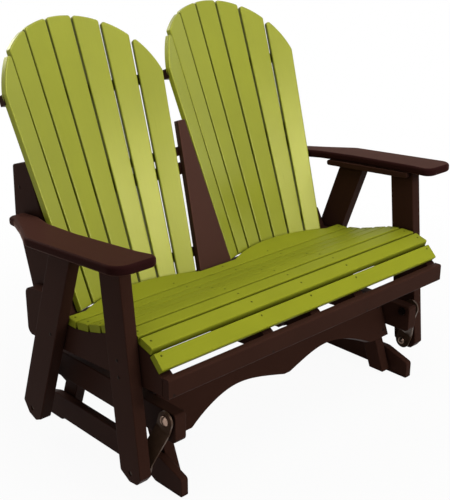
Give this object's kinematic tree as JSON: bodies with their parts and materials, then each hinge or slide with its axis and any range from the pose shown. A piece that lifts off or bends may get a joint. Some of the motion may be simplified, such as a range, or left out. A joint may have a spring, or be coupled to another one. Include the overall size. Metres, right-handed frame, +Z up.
{
  "type": "adirondack glider bench",
  "caption": "Bench-wide fan-back patio glider with a slatted rolled seat, cupped fan backs and wide paddle armrests, hung on steel swing links from a low runner base.",
  "frame": {"origin": "on the floor under the middle of the whole glider's box", "axes": "+X across the seat to the sitter's left (right in a front view), +Y to the back, +Z up"},
  "size_m": [1.39, 0.8478, 1.2056],
  "materials": {
    "green_slats": "lime green poly lumber with a faint brushed grain",
    "brown_boards": "dark brown poly lumber with a faint brushed grain",
    "link_steel": "brown powder-coated flat steel",
    "bolt_steel": "dark coated fasteners, worn bright at the edges"
  },
  "bodies": {
    "base": {"base_rail_left": "brown_boards", "base_rail_right": "brown_boards", "front_apron": "brown_boards", "rear_apron": "brown_boards", "runner_left": "brown_boards", "runner_right": "brown_boards", "upper_pivot_bolts": "bolt_steel", "upright_front_left": "brown_boards", "upright_front_right": "brown_boards", "upright_rear_left": "brown_boards", "upright_rear_right": "brown_boards"},
    "front_links": {"link_front_left": "link_steel", "link_front_right": "link_steel"},
    "rear_links": {"link_rear_left": "link_steel", "link_rear_right": "link_steel"},
    "seat": {"arm_cleats": "brown_boards", "armrest_left": "brown_boards", "armrest_right": "brown_boards", "back_post_left": "brown_boards", "back_post_right": "brown_boards", "back_slat_left_1": "green_slats", "back_slat_left_2": "green_slats", "back_slat_left_3": "green_slats", "back_slat_left_4": "green_slats", "back_slat_left_5": "green_slats", "back_slat_left_6": "green_slats", "back_slat_left_7": "green_slats", "back_slat_right_1": "green_slats", "back_slat_right_2": "green_slats", "back_slat_right_3": "green_slats", "back_slat_right_4": "green_slats", "back_slat_right_5": "green_slats", "back_slat_right_6": "green_slats", "back_slat_right_7": "green_slats", "centre_board": "brown_boards", "front_leg_left": "brown_boards", "front_leg_right": "brown_boards", "front_seat_rail": "brown_boards", "lower_battens": "brown_boards", "lower_pivot_bolts": "bolt_steel", "middle_battens": "brown_boards", "rear_leg_left": "brown_boards", "rear_leg_right": "brown_boards", "rear_seat_rail": "brown_boards", "seat_slat_1": "green_slats", "seat_slat_2": "green_slats", "seat_slat_3": "green_slats", "seat_slat_4": "green_slats", "seat_slat_5": "green_slats", "seat_slat_6": "green_slats", "seat_slat_7": "green_slats", "seat_slat_8": "green_slats", "stringer_centre": "brown_boards", "stringer_inner_left": "brown_boards", "stringer_inner_right": "brown_boards", "stringer_outer_left": "brown_boards", "stringer_outer_right": "brown_boards", "upper_battens": "brown_boards"}
  },
  "joints": [
    {"name": "front_link_swing", "type": "hinge", "parent": "base", "child": "front_links", "pos_m": [0, -0.3519, 0.24], "axis": [1, 0, 0], "range_deg": [-14, 14]},
    {"name": "rear_link_swing", "type": "hinge", "parent": "base", "child": "rear_links", "pos_m": [0, 0.2101, 0.24], "axis": [1, 0, 0], "range_deg": [-14.5, 14.5]},
    {"name": "seat_swing", "type": "hinge", "parent": "front_links", "child": "seat", "pos_m": [0, -0.2994, 0.088], "axis": [1, 0, 0], "range_deg": [-16.7, 16.7]}
  ],
  "couplings": [
    {"joint": "rear_link_swing", "follows": "front_link_swing", "ratio": 1},
    {"joint": "seat_swing", "follows": "front_link_swing", "ratio": -1.1708}
  ]
}
